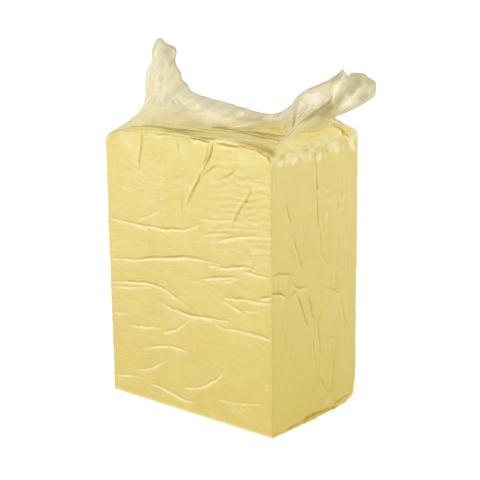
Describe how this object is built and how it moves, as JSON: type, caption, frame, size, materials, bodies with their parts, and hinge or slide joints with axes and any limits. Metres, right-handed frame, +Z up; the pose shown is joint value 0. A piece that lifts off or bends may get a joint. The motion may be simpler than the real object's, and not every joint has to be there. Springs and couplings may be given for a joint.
{
  "type": "white cheddar block",
  "caption": "Bulk block of pale cheddar, upright, in a clear clinging bag gathered into a seam with two ears above its top.",
  "frame": {"origin": "centre of the block's flat underside", "axes": "+Z up the standing block, +X to the right along its broad front, the front looks along -Y"},
  "size_m": [0.3843, 0.182, 0.4833],
  "materials": {
    "cheese": "pale yellow cheese under a clinging clear film, softly glossy",
    "film": "clear shrink film, milky where it is doubled and creased"
  },
  "bodies": {
    "root": {"cheese_block": "cheese", "bag_top": "film"}
  },
  "joints": []
}
